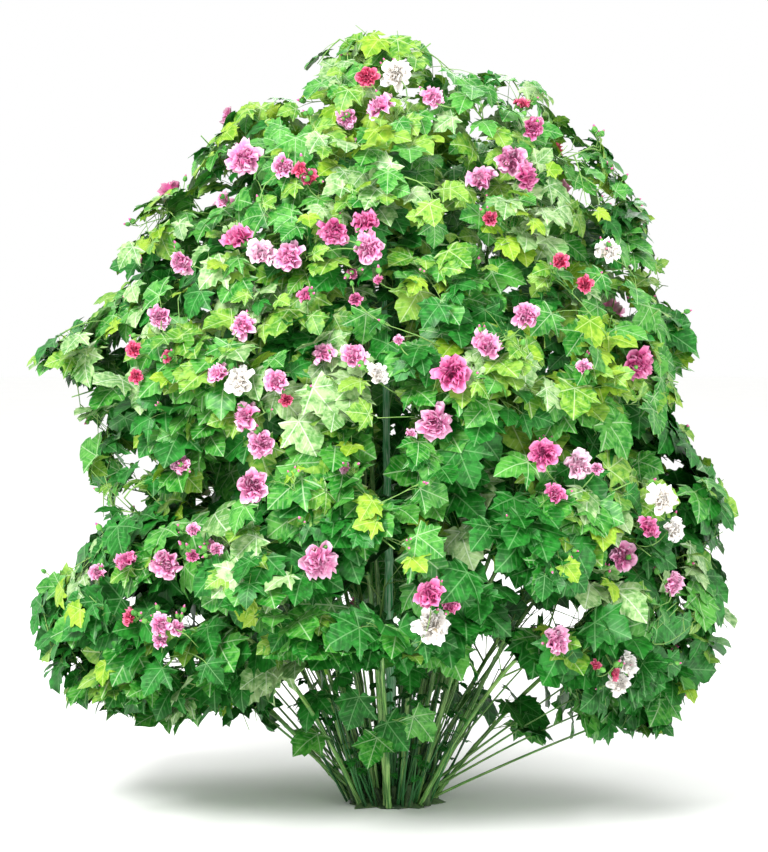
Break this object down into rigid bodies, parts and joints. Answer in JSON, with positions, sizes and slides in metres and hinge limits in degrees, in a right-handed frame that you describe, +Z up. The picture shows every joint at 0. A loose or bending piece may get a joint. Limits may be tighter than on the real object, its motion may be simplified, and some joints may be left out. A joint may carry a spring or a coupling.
{
  "type": "double confederate rose shrub",
  "caption": "Rooted clump of fanning green canes under a bell-shaped crown of lobed leaves and double pink, rose and white blossom.",
  "frame": {"origin": "on the ground, in the middle of the flat cut under the main stem's root crown", "axes": "+Z up, +X to the right and -Y to the front as the plant is seen in the picture"},
  "size_m": [2.496, 2.1218, 2.7408],
  "materials": {
    "stem_bark": "matte grey-green bark, browner and knobbly at the root crown",
    "cane_bark": "satin young green bark with pale lengthwise streaks",
    "foliage": "satin leaves from lime to deep green, with soft matte petals"
  },
  "bodies": {
    "root": {"cane_high_1": "cane_bark", "cane_high_2": "cane_bark", "cane_high_3": "cane_bark", "cane_high_4": "cane_bark", "cane_high_5": "cane_bark", "cane_low_1": "cane_bark", "cane_low_2": "cane_bark", "cane_low_3": "cane_bark", "cane_low_4": "cane_bark", "cane_low_5": "cane_bark", "cane_low_6": "cane_bark", "cane_low_7": "cane_bark", "cane_middle_1": "cane_bark", "cane_middle_2": "cane_bark", "cane_middle_3": "cane_bark", "cane_middle_4": "cane_bark", "cane_middle_5": "cane_bark", "cane_middle_6": "cane_bark", "cane_middle_7": "cane_bark", "cane_skirt_1": "cane_bark", "cane_skirt_2": "cane_bark", "cane_skirt_3": "cane_bark", "cane_skirt_4": "cane_bark", "cane_skirt_5": "cane_bark", "cane_skirt_6": "cane_bark", "cane_skirt_7": "cane_bark", "cane_skirt_8": "cane_bark", "foliage_high_1": "foliage", "foliage_high_2": "foliage", "foliage_high_3": "foliage", "foliage_high_4": "foliage", "foliage_high_5": "foliage", "foliage_low_1": "foliage", "foliage_low_2": "foliage", "foliage_low_3": "foliage", "foliage_low_4": "foliage", "foliage_low_5": "foliage", "foliage_low_6": "foliage", "foliage_low_7": "foliage", "foliage_middle_1": "foliage", "foliage_middle_2": "foliage", "foliage_middle_3": "foliage", "foliage_middle_4": "foliage", "foliage_middle_5": "foliage", "foliage_middle_6": "foliage", "foliage_middle_7": "foliage", "foliage_skirt_1": "foliage", "foliage_skirt_2": "foliage", "foliage_skirt_3": "foliage", "foliage_skirt_4": "foliage", "foliage_skirt_5": "foliage", "foliage_skirt_6": "foliage", "foliage_skirt_7": "foliage", "foliage_skirt_8": "foliage", "foliage_top": "foliage", "main_stem": "stem_bark"}
  },
  "joints": []
}
